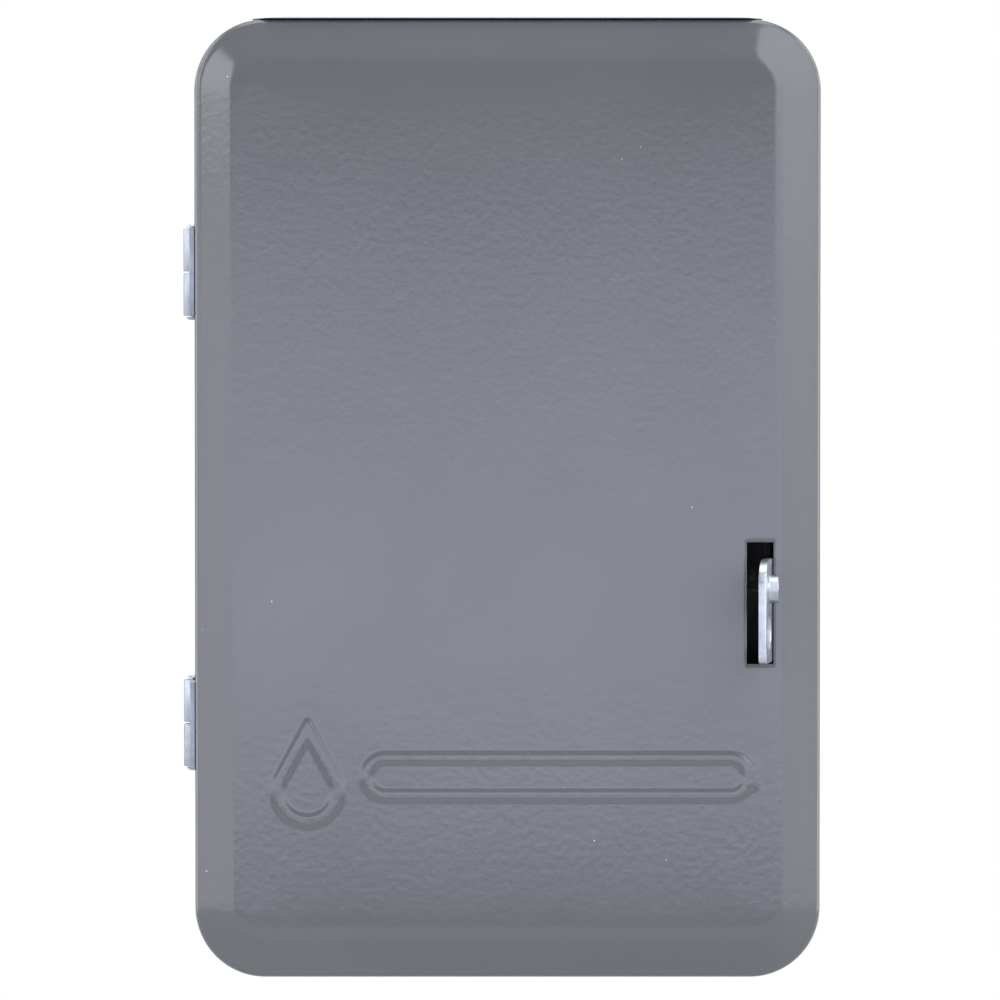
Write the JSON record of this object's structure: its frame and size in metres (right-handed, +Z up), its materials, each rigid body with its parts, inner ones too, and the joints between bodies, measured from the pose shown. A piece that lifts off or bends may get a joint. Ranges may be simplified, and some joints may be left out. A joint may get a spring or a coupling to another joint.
{
  "type": "irrigation time-switch controller",
  "caption": "Wall-mounted steel case with a hinged raised-panel door and spring hasp, holding a motor-driven time dial, a day wheel, a switch lever and wiring terminals.",
  "frame": {"origin": "centre of the case's flat back face, where it meets the wall", "axes": "+Z up along the case's height, +Y back towards the wall, +X to the right as seen facing the door"},
  "size_m": [0.1314, 0.0872, 0.1979],
  "materials": {
    "grey_enamel": "glossy grey baked enamel with light orange peel",
    "green_screw": "green-dyed plated screw",
    "zinc_plate": "bright zinc-plated spring steel, mottled",
    "chassis_zinc": "zinc-plated pressed steel",
    "card": "printed card, blank ruled",
    "black_moulding": "black phenolic moulding",
    "motor_can": "drawn aluminium motor can",
    "coil_tape": "varnished cloth coil tape",
    "brass": "machined brass",
    "steel_tripper": "bright plated steel",
    "dial_aluminium": "brushed aluminium with printed hour marks",
    "red_plastic": "red moulded plastic",
    "contact_moulding": "grey moulded switch block",
    "white_wire": "white PVC insulation",
    "black_wire": "black PVC insulation"
  },
  "bodies": {
    "case": {"case_shell": "grey_enamel", "rain_hood": "grey_enamel", "knockout_back": "grey_enamel", "knockout_left": "grey_enamel", "knockout_right": "grey_enamel", "knockout_bottom_left": "grey_enamel", "knockout_bottom_right": "grey_enamel", "ground_screw": "green_screw", "case_hinge_leaf_upper": "zinc_plate", "case_hinge_leaf_lower": "zinc_plate", "hinge_pin_upper": "zinc_plate", "hinge_pin_lower": "zinc_plate", "hasp_spring": "zinc_plate", "hasp_rivet_upper": "zinc_plate", "hasp_rivet_lower": "zinc_plate", "chassis": "chassis_zinc", "chassis_screw_left": "chassis_zinc", "chassis_screw_right": "chassis_zinc", "faceplate": "black_moulding", "faceplate_screw_upper_left": "chassis_zinc", "faceplate_screw_upper_right": "chassis_zinc", "faceplate_screw_lower_left": "chassis_zinc", "faceplate_screw_lower_right": "chassis_zinc", "motor_body": "motor_can", "motor_coil": "coil_tape", "stage_stud": "chassis_zinc", "time_pointer": "red_plastic", "contact_stud": "chassis_zinc", "contact_block": "contact_moulding", "terminal_block": "black_moulding", "terminal_screw_1": "brass", "terminal_screw_2": "brass", "terminal_screw_3": "brass", "terminal_screw_4": "brass", "terminal_screw_5": "brass", "motor_lead_white": "white_wire", "motor_lead_black": "black_wire"},
    "door": {"door_panel": "grey_enamel", "door_label": "card", "door_hinge_leaf_upper": "zinc_plate", "door_hinge_leaf_lower": "zinc_plate"},
    "hasp": {"hasp_blade": "zinc_plate"},
    "dial": {"dial_gear": "brass", "dial_plate": "dial_aluminium", "dial_knob": "black_moulding"},
    "stage": {"stage_gear": "brass"},
    "pinion": {"motor_pinion": "brass"},
    "on_tripper": {"tripper_on": "brass", "tripper_screw_on": "brass"},
    "off_tripper": {"tripper_off": "steel_tripper", "tripper_screw_off": "brass"},
    "skipper": {"skipper_wheel": "dial_aluminium", "skipper_hub": "brass"},
    "lever": {"manual_lever": "red_plastic"},
    "contact": {"contact_arm": "brass"}
  },
  "joints": [
    {"name": "door_hinge", "type": "hinge", "parent": "case", "child": "door", "pos_m": [-0.0651, -0.0607, 0], "axis": [0, 0, -1], "range_deg": [0, 170]},
    {"name": "hasp_flex", "type": "hinge", "parent": "case", "child": "hasp", "pos_m": [0.0604, -0.0385, -0.0226], "axis": [0, 0, -1], "range_deg": [0, 4], "stiffness_Nm_per_rad": 1.5},
    {"name": "dial_turn", "type": "hinge", "parent": "case", "child": "dial", "pos_m": [0, -0.05, 0.04], "axis": [0, 1, 0], "continuous": true},
    {"name": "stage_turn", "type": "hinge", "parent": "case", "child": "stage", "pos_m": [-0.01479, -0.0275, 0.00828], "axis": [0, 1, 0], "continuous": true},
    {"name": "pinion_turn", "type": "hinge", "parent": "case", "child": "pinion", "pos_m": [0.01119, -0.028, -0.00672], "axis": [0, 1, 0], "continuous": true},
    {"name": "skipper_turn", "type": "hinge", "parent": "case", "child": "skipper", "pos_m": [0.026, -0.0458, -0.02], "axis": [0, 1, 0], "continuous": true},
    {"name": "on_tripper_set", "type": "hinge", "parent": "dial", "child": "on_tripper", "pos_m": [0, -0.05, 0.04], "axis": [0, 1, 0], "range_deg": [-35, 35]},
    {"name": "off_tripper_set", "type": "hinge", "parent": "dial", "child": "off_tripper", "pos_m": [0, -0.05, 0.04], "axis": [0, 1, 0], "range_deg": [-35, 35]},
    {"name": "lever_turn", "type": "hinge", "parent": "case", "child": "lever", "pos_m": [-0.034, -0.045, -0.026], "axis": [0, 1, 0], "range_deg": [-18, 18]},
    {"name": "contact_turn", "type": "hinge", "parent": "case", "child": "contact", "pos_m": [-0.014, -0.0295, -0.035], "axis": [0, 1, 0], "range_deg": [-8, 8]}
  ],
  "couplings": [
    {"joint": "stage_turn", "follows": "dial_turn", "ratio": -6},
    {"joint": "pinion_turn", "follows": "dial_turn", "ratio": 30},
    {"joint": "skipper_turn", "follows": "dial_turn", "ratio": -0.071429},
    {"joint": "contact_turn", "follows": "lever_turn", "ratio": -0.4}
  ]
}
